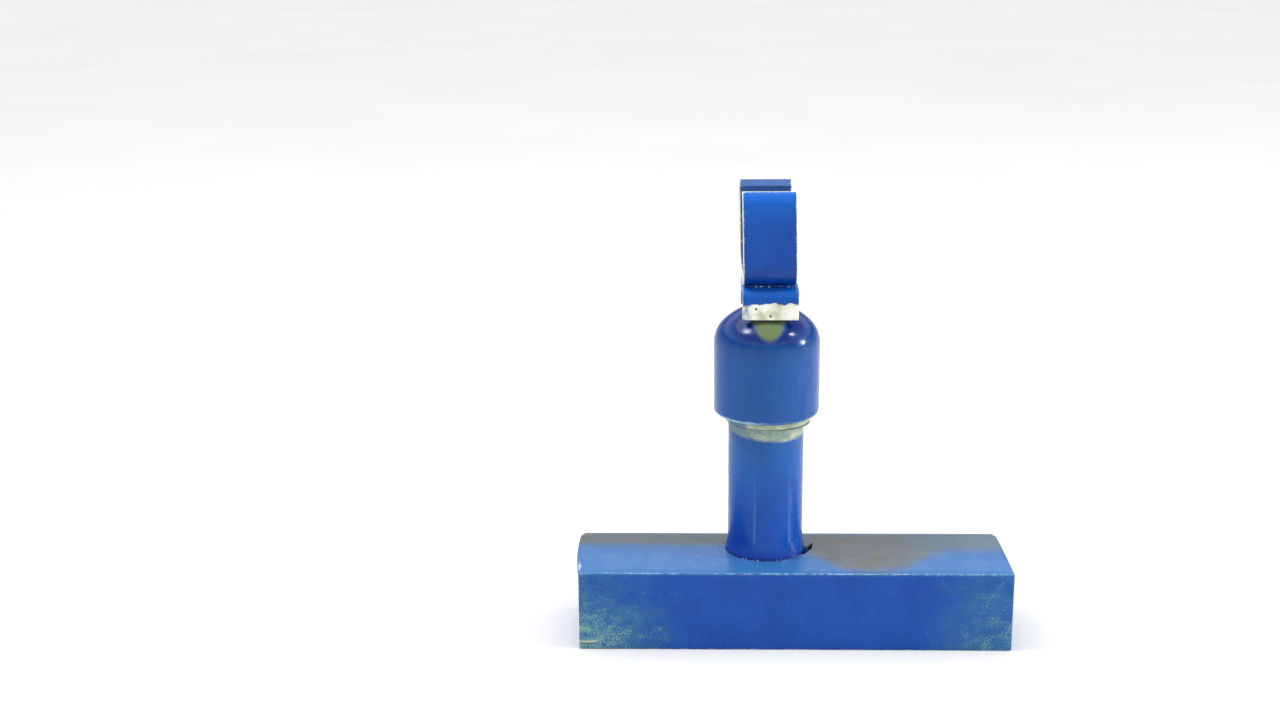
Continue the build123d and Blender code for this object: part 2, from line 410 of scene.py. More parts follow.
def seam_line(s, colour):
    """Short open seam over the bottom panel at the left of the front, with a pale chipped line above it."""
    x = s.axis("X")
    broken = s.times(s.add(s.noise(1.5 * MM, 3.0), -0.5), 5 * MM)
    reach = s.ramp(s.add(x, broken), BASE_LO.x + 5.5 * MM, BASE_LO.x + 4 * MM, 0.0, 0.8)
    front = s.ramp(s.axis("Y"), BASE_LO.y + 1.2 * MM, BASE_LO.y + 0.4 * MM)
    height = s.add(s.axis("Z"), s.times(s.add(s.noise(3 * MM, 3.0), -0.5), 0.8 * MM))
    pale = s.ramp(s.math("ABSOLUTE", s.add(height, -BOTTOM_TOP - 0.35 * MM)), 0.15 * MM, 0.35 * MM, 1.0, 0.0)
    dark = s.ramp(s.math("ABSOLUTE", s.add(height, -BOTTOM_TOP + 0.2 * MM)), 0.08 * MM, 0.28 * MM, 1.0, 0.0)
    colour = s.mix(s.times(pale, reach, front), colour, CREAM)
    return s.mix(s.times(dark, reach, front, 0.8), colour, NEAR_BLACK)


def post_layers(s, colour):
    """A worn band under the neck, deeper blue low on the left, painted shade at the foot, and a painted
    highlight along the two lines.
    """
    tilt = s.add(s.times(s.add(s.axis("Y"), -AXIS.y), -0.12), s.times(s.add(s.axis("X"), -AXIS.x), 0.06))
    ragged = s.times(s.add(s.noise(1.8 * MM, 5.0, 0.65), -0.5), 1.8 * MM)
    edge = s.add(s.axis("Z"), tilt, ragged)
    bare = s.ramp(edge, BUSH_LO.z - 2.9 * MM, BUSH_LO.z - 1.7 * MM)
    streak = s.ramp(s.noise(0.8 * MM, 5.0, 0.75, (1.5, 1.5, 0.45), 3.0), 0.40, 0.66)
    tint = s.mix(s.ramp(s.noise(2.4 * MM, 4.0, 0.6, offset=6.0), 0.35, 0.65), PALE_GREEN, CREAM)
    tint = s.mix(s.times(streak, 0.36), tint, TEAL)
    left = s.ramp(s.axis("X"), AXIS.x - 1 * MM, AXIS.x - 8 * MM)
    tint = s.mix(s.times(left, 0.5), tint, TEAL)
    low = s.ramp(s.axis("Z"), BASE_TOP + 4 * MM, BASE_TOP + 16 * MM, 1.0, 0.0)
    # painted shade: deeper blue at the foot where the post meets the top
    foot = s.ramp(s.axis("Z"), BASE_TOP + 1 * MM, BASE_TOP + 5 * MM, 0.8, 0.0)
    deep = s.math("MAXIMUM", s.times(low, left), foot)
    dusty = s.ramp(s.axis("Z"), BASE_TOP + 8 * MM, BUSH_LO.z, 0.0, 0.40)
    colour = s.mix(dusty, colour, TEAL)
    colour = s.mix(s.times(deep, 0.65), colour, DEEPER_BLUE)
    # painted highlight: lighter blue along the post's two lines, from the wear attribute
    colour = s.mix(s.times(s.attribute("wear"), 0.4), colour, EDGE_BLUE)
    return s.mix(s.times(bare, 0.9), colour, tint), bare


def foot_layers(s, colour):
    """As the post above it, with painted shade as a dark line where it meets the top and painted glints as
    pale specks in front.
    """
    colour, _ = post_layers(s, colour)
    # painted shade: navy in a thin line where the foot meets the top
    height = s.add(s.axis("Z"), -BASE_TOP - CROWN)
    line = s.ramp(height, 0.15 * MM, 0.9 * MM, 1.0, 0.0)
    colour = s.mix(s.times(line, 0.8), colour, NAVY)
    # painted glints: pale specks along the front of that line
    front = s.ramp(s.axis("Y"), AXIS.y - 7 * MM, AXIS.y - 10 * MM)
    specks = s.ramp(s.noise(0.55 * MM, 2.0, 0.5, offset=9.0), 0.60, 0.66)
    specks = s.times(specks, front, s.ramp(height, 0.3 * MM, 0.5 * MM, 1.0, 0.0))
    return s.mix(specks, colour, EDGE_PALE), specks


def streaks(s):
    """Noise drawn out down the head's side, as dust and sagging paint leave it."""
    return s.noise(4 * MM, 3.0, 0.6, (0.5, 0.5, 3.0), 7.0)


# how fast the lower edge of the dome's bare patch curves up to its sides, per metre
PATCH_CURVE = 150.0


def dome_patch(s, colour):
    """Unpainted patch on the dome under the front of the saddle, with a painted dark reflection round it and
    painted shade over the dome.
    """
    across = s.math("SUBTRACT", s.axis("X"), (SADDLE_LO.x + SADDLE_HI.x) / 2 - 0.3 * MM)
    down = s.math("SUBTRACT", SADDLE_LO.z, s.axis("Z"))
    ragged = s.times(s.add(s.noise(1.3 * MM, 4.0, 0.65), -0.5), 1.7 * MM)
    width = s.ramp(down, -0.5 * MM, 4.6 * MM, 4.9 * MM, 2.7 * MM)
    inside = s.add(width, s.times(s.math("ABSOLUTE", across), -1.0), ragged)
    rounded = s.times(across, across, PATCH_CURVE)
    below = s.add(down, rounded, s.times(ragged, 0.5))
    front = s.ramp(s.axis("Y"), AXIS.y - 4 * MM, AXIS.y - 6 * MM)
    uneven = s.times(s.add(s.noise(5 * MM, 3.0, 0.6, offset=4.0), -0.5), 4 * MM)
    # painted dark reflection round the patch, above it and in front
    dark_reflection = s.ramp(s.add(inside, uneven), -8 * MM, -3 * MM)
    dark_reflection = s.times(dark_reflection, s.ramp(s.add(down, s.times(uneven, 0.6)), 4.2 * MM, 6.4 * MM, 1.0, 0.0))
    above = s.ramp(down, -4.5 * MM, -1 * MM)
    # painted shade: navy mixed in, more over the dome than down its side
    shade = s.ramp(s.axis("Z"), HEAD_HI.z - DOME_RISE - 5 * MM, HEAD_HI.z - DOME_RISE + 3 * MM, 0.34, 0.74)
    colour = s.mix(shade, colour, NAVY)
    dusty = s.ramp(s.axis("Z"), SADDLE_LO.z, HEAD_HI.z - DOME_RISE - 2 * MM, 0.0, 0.34)
    dusty = s.times(dusty, s.ramp(streaks(s), 0.3, 0.7, 0.6, 1.0))
    colour = s.mix(dusty, colour, TEAL)
    rim = s.add(s.axis("Z"), s.times(s.add(s.noise(1.4 * MM, 4.0, 0.7), -0.5), 0.9 * MM))
    rim = s.ramp(rim, HEAD_LO.z + 1.25 * MM, HEAD_LO.z + 0.8 * MM)
    left = s.ramp(s.axis("X"), AXIS.x + 1 * MM, AXIS.x - 5 * MM, 0.15, 0.75)
    colour = s.mix(s.times(rim, left), colour, EDGE_PALE)
    # the painted dark reflection laid on
    colour = s.mix(s.times(dark_reflection, above, 0.85, front), colour, NAVY)
    bare = s.times(s.ramp(inside, -0.9 * MM, 0.9 * MM), s.ramp(below, 3.9 * MM, 5.6 * MM, 1.0, 0.0), front)
    tint = s.mix(s.ramp(s.noise(1.2 * MM, 3.0), 0.35, 0.7), BARE_GREEN, TEAL)
    tint = s.mix(s.ramp(inside, 0.2 * MM, 1.6 * MM), tint, BARE_GREEN)
    return s.mix(s.times(bare, 0.92), colour, tint), bare


def saddle_layers(s, colour):
    """Cut edges, a painted highlight up the top roll, and the big chip across the lower half of the front
    with its specks and left-over blue.
    """
    colour, cut = cut_edges(s, colour)
    front = s.ramp(s.axis("Y"), SADDLE_LO.y + 0.7 * MM, SADDLE_LO.y + 0.3 * MM)
    ragged = s.times(s.add(s.noise(3.2 * MM, 4.0, 0.6, offset=2.0), -0.5), 3.6 * MM)
    top = SADDLE_LO.z + 4.0 * MM
    # painted highlight: lighter blue up the roll at the saddle's top
    roll = s.ramp(s.axis("Z"), top, SADDLE_HI.z - 0.5 * MM, 0.0, 0.55)
    colour = s.mix(roll, colour, HIGHLIGHT_BLUE)
    chip = s.ramp(s.add(s.axis("Z"), ragged), top + 0.12 * MM, top - 0.12 * MM)
    left = s.ramp(s.axis("X"), SADDLE_LO.x + 3.2 * MM, SADDLE_LO.x + 0.6 * MM)
    rest = s.times(s.ramp(s.noise(1.1 * MM, 4.0, 0.7, offset=5.0), 0.38, 0.56), left)
    chip = s.times(chip, front, s.math("SUBTRACT", 1.0, s.times(rest, 0.7)))
    white = s.mix(s.ramp(s.noise(3.0 * MM, 3.0, 0.6), 0.35, 0.7), BARE_WHITE, CREAM)
    colour = s.mix(chip, colour, white)
    for x, z in ((3.5, 2.9), (7.2, 1.0)):
        dx = s.math("SUBTRACT", s.axis("X"), SADDLE_LO.x + x * MM)
        dz = s.math("SUBTRACT", s.axis("Z"), SADDLE_LO.z + z * MM)
        away = s.math("SQRT", s.add(s.times(dx, dx), s.times(dz, dz)))
        speck = s.times(s.ramp(away, 0.2 * MM, 0.42 * MM, 1.0, 0.0), front)
        colour = s.mix(speck, colour, NEAR_BLACK)
    return colour, s.math("MAXIMUM", chip, cut)


def crease_layers(s, colour):
    """Painted shade as deeper blue over the glue in the crease under the band, with painted glints as a few
    pale specks where it ends on the saddle.
    """
    # painted shade: deeper blue over all the glue in the crease
    colour = s.mix(0.75, colour, DEEPER_BLUE)
    # painted glints: pale specks low on the glue
    low = s.ramp(s.axis("Z"), SADDLE_HI.z + 0.5 * MM, SADDLE_HI.z + 0.3 * MM)
    specks = s.times(s.ramp(s.noise(0.8 * MM, 2.0, 0.5, offset=2.0), 0.56, 0.62), low)
    return s.mix(specks, colour, EDGE_PALE), specks


def bush_material():
    """Aged cream plastic, streaked with thin blue overspray and a little dirt, with painted shade along its
    lowest edge.
    """
    s = Shade("bush_plastic")
    blotch = s.ramp(s.noise(2.6 * MM, 4.0, 0.65, (1, 1, 0.5)), 0.38, 0.66)
    colour = s.mix(blotch, CREAM, PALE_GREEN)
    side = s.ramp(s.axis("X"), AXIS.x - 2 * MM, AXIS.x - 8 * MM)
    spray = s.add(s.times(s.noise(1.2 * MM, 5.0, 0.7, (1.2, 1.2, 0.6), 2.0), 0.9), s.times(side, 0.35), -0.05)
    colour = s.mix(s.times(s.ramp(spray, 0.52, 0.72), 0.8), colour, TEAL)
    dirt = s.ramp(s.noise(0.9 * MM, 4.0, 0.7, offset=7.0), 0.62, 0.75)
    colour = s.mix(s.times(dirt, 0.6), colour, BARE_GREEN)
    # painted shade: near black along the bottom of the lip
    below = s.ramp(s.axis("Z"), BUSH_LO.z + 0.25 * MM, BUSH_LO.z + 0.05 * MM)
    colour = s.mix(s.times(below, 0.85), colour, NEAR_BLACK)
    grit = s.add(s.noise(1.4 * MM, 3.0, 0.6), s.times(s.noise(0.3 * MM, 2.0), 0.4))
    return s.finish(colour, 0.42, s.bump(grit, 0.09 * MM))


def glue_material():
    """Lumpy hot glue under the same spray, which is thin in places."""
    s = Shade("glue_saddle")
    thin = s.times(s.ramp(s.noise(1.8 * MM, 4.0, 0.65, offset=4.0), 0.58, 0.78), 0.6)
    colour = s.mix(thin, paint_colour(s), BARE_GREEN)
    lumps = s.add(s.noise(1.6 * MM, 3.0, 0.5), s.times(s.noise(0.4 * MM, 2.0), 0.15))
    return s.finish(colour, s.blend(thin, 0.25, 0.45), s.bump(lumps, 0.08 * MM))


PAINT_BASE = painted("paint_base", base_layers)
PAINT_POST = painted("paint_post", post_layers)
PAINT_DOME = painted("paint_head", dome_patch, gloss=(0.12, 0.24))
PAINT_SADDLE = painted("paint_saddle", saddle_layers)
PAINT_BAND = painted("paint_band", cut_edges)
BUSH_PLASTIC = bush_material()
GLUE_FOOT = painted("glue_foot", foot_layers)
GLUE_SADDLE = glue_material()
GLUE_BAND = painted("glue_band", crease_layers)


# ---------------------------------------------------------------- base
EDGE_ROUND = 0.4 * MM
GRID = 2.5 * MM


def set_wear(obj, value):
    """Writes the wear attribute, 0 to 1, from value(point)."""
    layer = obj.data.attributes.new("wear", "FLOAT", "POINT")
    for vert, item in zip(obj.data.vertices, layer.data):
        item.value = value(vert.co)


def slices(bm, axis, low, high, step):
    """Cuts the mesh across an axis every step, so that it can bend."""
    count = max(1, round((high - low) / step))
    normal = Vector([1.0 if i == axis else 0.0 for i in range(3)])
    for k in range(1, count):
        point = normal * (low + (high - low) * k / count)
        everything = bm.verts[:] + bm.edges[:] + bm.faces[:]
        bmesh.ops.bisect_plane(bm, geom=everything, plane_co=point, plane_no=normal)


def panel(name, lo, hi, is_open_edge, bend):
    """Flat panel whose open edges are softened, cut fine enough to bend by bend(point) -> point."""
    bm = bmesh.new()
    bmesh.ops.create_cube(bm, size=1.0)
    for v in bm.verts:
        v.co = Vector(lo[i] + (hi[i] - lo[i]) * (v.co[i] + 0.5) for i in range(3))
    edges = [e for e in bm.edges if is_open_edge((e.verts[0].co + e.verts[1].co) / 2)]
    bmesh.ops.bevel(bm, geom=edges, offset=EDGE_ROUND, segments=3, profile=0.5, affect="EDGES")
    for axis in range(3):
        slices(bm, axis, lo[axis], hi[axis], GRID)
    for v in bm.verts:
        v.co = bend(v.co.copy())
    return object_from(name, bm, 50)


def on_outline(p, slack=0.01 * MM):
    """Is this edge's middle on the outer vertical corners or the box's top or bottom rim?"""
    at_x = min(abs(p.x - BASE_LO.x), abs(p.x - BASE_HI.x)) < slack
    at_y = min(abs(p.y - BASE_LO.y), abs(p.y - BASE_HI.y)) < slack
    at_z = min(abs(p.z - BASE_LO.z), abs(p.z - BASE_TOP)) < slack
    return at_x + at_y + at_z >= 2


def bend_base(p):
    """Hand-made box: faces a little wavy, never past the CAD box."""
    inward = Vector((0, 0, 0))
    near_left = 1 if p.x < (BASE_LO.x + BASE_HI.x) / 2 else -1
    near_front = 1 if p.y < 0 else -1
    inward.x = near_left * 0.14 * MM * abs(wobble((p.y, p.z, 0.3), 9 * MM, 2.0))
    inward.y = near_front * 0.14 * MM * abs(wobble((p.x, p.z * 1.5, 0.7), 16 * MM, 5.0))
    if p.z < 0.5 * MM:
        inward.z = 0.10 * MM * abs(wobble((p.x, p.y, 0.1), 8 * MM, 8.0))
    return p + inward


def bend_top(p):
    """Crown across the depth, the bowed hand-cut left end, and slow waves in the sheet."""
    depth = p.y / HALF_DEPTH
    height = (p.z - WALL_TOP) / WALL
    if height > 0.05:
        wave = 0.11 * MM * (wobble((p.x, p.y * 1.4, 0.0), 13 * MM, 1.0) - 0.45) * (1 - depth * depth)
        droop = 0.35 * MM * max(0.0, 1 - (p.x - BASE_LO.x) / (8 * MM)) ** 2 * max(0.0, -depth)
        p.z += (CROWN * (1 - depth * depth) + wave - droop) * min(1.0, height)
    left = max(0.0, 1 - (p.x - BASE_LO.x) / (5 * MM))
    right = max(0.0, 1 - (BASE_HI.x - p.x) / (5 * MM))
    skew = (depth + 1) / 2 * TOP_SKEW
    bow = (END_BOW - 0.4 * MM) * (1 - depth * depth)
    corner = 1.4 * MM * max(0.0, (p.y - HALF_DEPTH + TOP_CORNER) / TOP_CORNER) ** 2
    p.x -= left * (skew + bow - corner - 0.12 * MM * abs(wobble(p, 3 * MM, 4.0)))
    p.x -= right * (corner + 0.5 * skew)
    return bend_base(p)


def edge_wear_and_highlight(p):
    """How rubbed a point of the box is: most along its outer edges, and most of all along the front top edge,
    where it also makes a painted highlight line.
    """
    dx = min(p.x - BASE_LO.x, BASE_HI.x - p.x)
    dy = min(p.y - BASE_LO.y, BASE_HI.y - p.y)
    dz = min(p.z - BASE_LO.z, max(BASE_TOP - p.z, 0.0))
    middle = sorted((abs(dx), abs(dy), abs(dz)))[1]
    # front top edge: rubbed, and a painted highlight line along it
    front_top = p.y < 0 and abs(dz) < 0.7 * MM
    return max(0.0, 1 - middle / (0.7 * MM)) * (0.95 if front_top else 0.6)


def base_panels():
    lo, hi = BASE_LO, BASE_HI
    sizes = {
        "base_bottom_panel": (lo, Vector((hi.x, hi.y, BOTTOM_TOP))),
        "base_front_panel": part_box("base_front_panel"),
        "base_back_panel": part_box("base_back_panel"),
        "base_left_end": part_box("base_left_end"),
        "base_right_end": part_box("base_right_end"),
        "base_top_panel": (Vector((lo.x, lo.y, WALL_TOP)), Vector((hi.x, hi.y, BASE_TOP))),
    }
    made = {}
    for node, (low, high) in sizes.items():
        bend = bend_top if node == "base_top_panel" else bend_base
        piece = panel(node.replace("base_", "box_"), low, high, on_outline, bend)
        made[node] = piece
    cut_post_hole(made["base_top_panel"])
    for node, piece in made.items():
        set_wear(piece, edge_wear_and_highlight)
        stand_for(piece, node, "base", PAINT_BASE)


# where the saw slipped at the hole, in millimetres from the post's axis
NOTCH = (
    (9.5, 0.0),
    (11.2, 0.2),
    (12.0, 1.7),
    (13.1, 3.1),
    (12.9, 0.9),
    (12.6, -1.4),
    (11.7, -2.9),
    (11.0, -4.4),
    (10.2, -5.6),
    (9.5, -5.8),
)


def cut_post_hole(top):
    """Oversize hole for the post, with the ragged notch where the saw slipped."""
    cutters = [[(POST_R + HOLE_SLACK) * Vector((math.cos(a), math.sin(a))) for a in turn(72)]]
    cutters.append([Vector(p) * MM for p in NOTCH])
    for outline in cutters:
        low, high = WALL_TOP - 3 * MM, BASE_TOP + 3 * MM
        loops = [[AXIS + Vector((p.x, p.y, z)) for p in outline] for z in (low, high)]
        cutter = skin("cutter", loops)
        cut = top.modifiers.new("hole", "BOOLEAN")
        cut.operation = "DIFFERENCE"
        cut.object = cutter
        cut.solver = "EXACT"
        whole = top.evaluated_get(bpy.context.evaluated_depsgraph_get())
        mesh = bpy.data.meshes.new_from_object(whole)
        top.modifiers.clear()
        top.data = mesh
        bpy.data.objects.remove(cutter)
    top.data.set_sharp_from_angle(angle=math.radians(50))


def turn(count, start=0.0, end=2 * math.pi, closed=False):
    steps = count - 1 if closed else count
    return [start + (end - start) * k / steps for k in range(count)]


# ---------------------------------------------------------------- post
def post():
    """Pipe with softened ends, a little uneven, with the extruder's two faint lines on its front, given a
    painted highlight low down.
    """
    r_in = POST_R - POST_WALL
    lip = 0.3 * MM
    profile = [(POST_R - lip, POST_LO.z)]
    profile += run((POST_R, POST_LO.z + lip), (POST_R, POST_HI.z - lip), 60)
    profile += [(POST_R, POST_HI.z - lip), (POST_R - lip, POST_HI.z)]
    profile += [(r_in, POST_HI.z), (r_in, POST_LO.z)]

    def shift(angle, r, z):
        if r < POST_R or z > BUSH_LO.z - 1 * MM:
            return 0, 0
        point = (math.cos(angle), math.sin(angle), z / (24 * MM))
        return -0.05 * MM * abs(wobble(point, 0.8, 3.0)) - 0.04 * MM * (1 - ridge(angle)), 0

    piece = lathe("post", profile, 360, shift)
    # on the post the wear attribute carries only the painted highlight along its two lines
    set_wear(piece, lambda p: ridge(math.atan2(p.y - AXIS.y, p.x - AXIS.x)) * highlight_fade(p.z))
    stand_for(piece, "post_tube", "base", PAINT_POST)


RIDGES = (math.radians(-108.5), math.radians(-53.5))
RIDGE_HALF = math.radians(3.0)


def ridge(angle):
    """1 on the extruder's faint lines along the post, 0 away from them."""
    return max(0.0, 1 - min(abs(math.remainder(angle - a, 2 * math.pi)) for a in RIDGES) / RIDGE_HALF)


def highlight_fade(z):
    """The painted highlight along the lines is full on the lower half of the post and fades out higher up."""
    return max(0.0, min(1.0, (48 * MM - z) / (14 * MM)))


def foot_glue():
    """Glue drawn up round the foot under the paint, and a little way into the notch."""
    loops = []
    for angle in turn(160):
        out = Vector((math.cos(angle), math.sin(angle), 0))
        lump = wobble(out, 0.35, 6.0)
        fine = wobble(out, 0.09, 9.0)
        flare = (0.72 + 0.10 * lump + 0.05 * fine) * MM
        rise = (4.4 + 1.4 * lump + 0.3 * fine) * MM
        y = AXIS.y + out.y * POST_R
        floor_z = BASE_TOP + CROWN * (1 - (y / HALF_DEPTH) ** 2)
        section = [(POST_R - 0.05 * MM, floor_z + rise)]
        for t in (1.0, 0.85, 0.7, 0.55, 0.4, 0.27, 0.16, 0.08, 0.03, 0.0):
            section.append((POST_R + flare * (1 - t) ** 1.7 + 0.03 * MM, floor_z + rise * t))
        section += [
            (POST_R + flare + 0.06 * MM, floor_z - 0.12 * MM),
            (POST_R + HOLE_SLACK * 0.9, floor_z - 0.2 * MM),
            (POST_R + HOLE_SLACK * 0.9, WALL_TOP),
            (POST_R - 0.05 * MM, WALL_TOP),
        ]
        loops.append([AXIS + out * r + Vector((0, 0, z)) for r, z in section])
    stand_for(skin("foot_glue", loops, ring=True), "post_foot_cement", "base", GLUE_FOOT)


# ---------------------------------------------------------------- head
def bush():
    """Bare ring at the neck: ragged lip, a little off-centre to the right, with a groove above it."""
    r_in = POST_R + 0.05 * MM
    lip = BUSH_LO.z
    profile = [(r_in, lip), (BUSH_R - 0.55 * MM, lip)]
    profile += arc(BUSH_R - 0.5 * MM, lip + 0.5 * MM, 0.5 * MM, -80, 0, 5)
    profile += run((BUSH_R, lip + 0.7 * MM), (BUSH_R, HEAD_LO.z), 4)
    profile += [(BUSH_R, HEAD_LO.z), (BUSH_R - 0.02 * MM, HEAD_LO.z + 1 * MM)]
    profile += [(BUSH_R - 0.02 * MM, BUSH_HI.z), (r_in, BUSH_HI.z)]

    def shift(angle, r, z):
        if r < r_in + 0.2 * MM or z > HEAD_LO.z + 0.1 * MM:
            return 0, 0
        out = (math.cos(angle), math.sin(angle), z / (4 * MM))
        aside = 0.38 * MM * math.cos(angle) + 0.12 * MM
        ragged = 0.12 * MM * wobble(out, 0.22, 11.0)
        drop = -0.1 * MM + 0.22 * MM * wobble(out, 0.3, 13.0) if z < lip + 1 * MM else 0
        hang = 0.8 * MM * max(0.0, math.cos(angle)) ** 3 if z < lip + 1 * MM else 0
        return aside + ragged, max(drop, -0.25 * MM) - hang

    stand_for(lathe("neck_ring", profile, 180, shift), "neck_bush", "head", BUSH_PLASTIC)


def dome_outline(steps):
    """(radius, height) points from the shoulder to the top, a corner arc and then the flatter crown."""
    top = HEAD_HI.z
    shoulder = top - DOME_RISE
    corner_x = HEAD_R - DOME_CORNER
    crown_r = (corner_x**2 + DOME_RISE**2 - DOME_CORNER**2) / (2 * (DOME_RISE - DOME_CORNER))
    crown_z = top - crown_r
    meet = math.degrees(math.atan2(shoulder - crown_z, corner_x))
    corner = arc(corner_x, shoulder, DOME_CORNER, 0, meet, steps)
    return corner + arc(0, crown_z, crown_r, meet, 89.0, steps)[1:], crown_r, crown_z


def head():
    """Cap with its socket: one skin from the mouth round the dome and back down inside."""
    dome, crown_r, crown_z = dome_outline(18)
    rim = HEAD_LO.z
    shoulder = HEAD_HI.z - DOME_RISE
    stop = POST_HI.z + 0.05 * MM
    bore = POST_R - 1 * MM
    roof_r = crown_r - DOME_WALL
    roof_from = math.degrees(math.acos(bore / roof_r))
    outside = [(BUSH_R, rim)] + arc(HEAD_R - RIM_ROUND, rim + RIM_ROUND, RIM_ROUND, -90, 0, 8)
    outside += run((HEAD_R, rim + RIM_ROUND + 0.5 * MM), (HEAD_R, shoulder), 20)
    inside = arc(0, crown_z, roof_r, 89.0, roof_from, 8) + [(bore, stop), (BUSH_R, stop)]
    profile = outside + dome + inside

    def shift(angle, r, z):
        point = (math.cos(angle), math.sin(angle), z / (14 * MM))
        if r < BUSH_R + 0.1 * MM and z < shoulder:
            return 0, 0
        slow = (-0.006 * MM - 0.07 * MM * abs(wobble(point, 0.6, 15.0))) * min(1, r / HEAD_R)
        rim_lift = 0.16 * MM * abs(wobble(point, 0.16, 17.0)) if z < rim + 0.6 * MM else 0
        return slow, rim_lift

    shell = lathe("domed_cap", profile, 192, shift)
    close_poles(shell)
    stand_for(shell, "head_shell", "head", PAINT_DOME)


def close_poles(obj):
    """Fills the pinholes left on the axis by the lathe, outside and inside the dome."""
    bm = bmesh.new()
    bm.from_mesh(obj.data)

    def at_pole(v):
        return math.hypot(v.co.x - AXIS.x, v.co.y - AXIS.y) < POLE_R

    rims = [[], []]
    for v in filter(at_pole, bm.verts):
        rims[0 if v.co.z > HEAD_HI.z - DOME_WALL / 2 else 1].append(v)
    across = [f for f in bm.faces if all(at_pole(v) for v in f.verts)]
    bmesh.ops.delete(bm, geom=across, context="FACES_ONLY")
    for rim in rims:
        rim.sort(key=lambda v: math.atan2(v.co.y - AXIS.y, v.co.x - AXIS.x))
        middle = bm.verts.new(sum((v.co for v in rim), Vector()) / len(rim))
        for a, b in zip(rim, rim[1:] + rim[:1]):
            bm.faces.new((a, b, middle))
    bmesh.ops.recalc_face_normals(bm, faces=bm.faces)
    bm.to_mesh(obj.data)
    bm.free()
    obj.data.shade_smooth()


# ---------------------------------------------------------------- clip
def strip_sections(outline, middle, width, count, edge, slant=None):
    """Loops of a bent strip's outline across its width. edge is how far the cut ends are softened."""
    ends = [(0.0, 1.0), (0.3, 0.35), (1.0, 0.0)]
    places = [(-width / 2 + edge * a, b) for a, b in ends]
    places += [(-width / 2 + edge + (width - 2 * edge) * k / count, 0.0) for k in range(1, count)]
    places += [(width / 2 - edge * a, b) for a, b in reversed(ends)]
    normals = outline_normals(outline)
    loops = []
    for x, pull in places:
        loop = []
        for (y, z), normal in zip(outline, normals):
            side = 1 if x > 0 else -1
            end_wave = 0.13 * MM * wobble((y, z, 0.5 * side), 4 * MM, 19.0) * abs(2 * x / width) ** 6
            face_wave = 0.05 * MM * wobble((x, y, z), 7 * MM, 21.0)
            inward = normal * (edge * pull * 0.8 + abs(face_wave))
            lean = slant(y, z) if slant else 0.0
            loop.append(Vector((middle + x - end_wave * side + lean, y - inward.x, z - inward.y)))
        loops.append(loop)
    return loops


def outline_normals(outline):
    """Outward unit normals of a closed outline, by its signed area."""
    after = outline[1:] + outline[:1]
    before = outline[-1:] + outline[:-1]
    area = sum(a[0] * b[1] - b[0] * a[1] for a, b in zip(outline, after))
    sign = 1 if area > 0 else -1
    along = [Vector(b) - Vector(a) for a, b in zip(before, after)]
    return [Vector((d.y, -d.x)).normalized() * sign for d in along]


def strip_wear(lo, hi):
    """Wear of a strip: its cut ends along X, fading over the softened edge."""

    def value(p):
        away = min(p.x - lo.x, hi.x - p.x)
        return max(0.0, min(1.0, 1.1 - away / (0.30 * MM)))

    return value


def band_outline():
    """The U of the clip in (y, z): flat floor, bends, straight legs, lips turned in."""
    mid = GRIP_R + STRIP / 2
    lip_z = BAND_HI.z - (LIP_BEND + STRIP / 2) * math.sin(math.radians(LIP_ANGLE))
    floor_y, floor_z = mid - FLOOR_BEND, CLIP_Z - mid + FLOOR_BEND

    def side(offset):
        points = run((0.0, CLIP_Z - mid - offset), (floor_y, CLIP_Z - mid - offset), 6)
        points += arc(floor_y, floor_z, FLOOR_BEND + offset, -90, 0, 12)[:-1]
        points += run((mid + offset, floor_z), (mid + offset, lip_z), 14)
        return points + arc(mid - LIP_BEND, lip_z, LIP_BEND + offset, 0, LIP_ANGLE, 8)

    outer, inner = side(STRIP / 2), side(-STRIP / 2)
    loop = outer[::-1][:-1] + [(-y, z) for y, z in outer]
    back = [(-y, z) for y, z in inner[::-1]][:-1] + inner
    return [(AXIS.y + y, z) for y, z in loop + back]


def band_underside(y):
    """Height of the band's outside at a distance y from its middle, near its floor."""
    bend = FLOOR_BEND + STRIP / 2
    past = max(0.0, abs(y) - (GRIP_R + STRIP / 2 - FLOOR_BEND))
    return CLIP_Z - GRIP_R - STRIP + bend - math.sqrt(bend**2 - past**2)


def band():
    outline = band_outline()
    centre_x = (BAND_LO.x + BAND_HI.x) / 2

    def slant(y, z):
        up = (z - CLIP_Z) / (BAND_HI.z - CLIP_Z)
        back = (y - AXIS.y) / (GRIP_R + STRIP)
        return (-0.28 * up - 0.18 * back) * MM

    loops = strip_sections(outline, centre_x, BAND_HI.x - BAND_LO.x - 0.1 * MM, 20, 0.22 * MM, slant)
    piece = skin("clip_band_bent", loops, smooth_angle=40)

    def value(p):
        x = p.x - slant(p.y, p.z)
        away = min(x - BAND_LO.x, BAND_HI.x - x) - 0.05 * MM
        ends = max(0.0, min(1.0, 1.1 - away / (0.38 * MM)))
        front = 1.0 if p.y < AXIS.y else 0.0
        tip = max(0.0, 0.8 - max(0.0, BAND_HI.z - p.z) / (0.35 * MM))
        return max(ends, front * tip)

    set_wear(piece, value)
    stand_for(piece, "clip_band", "head", PAINT_BAND)


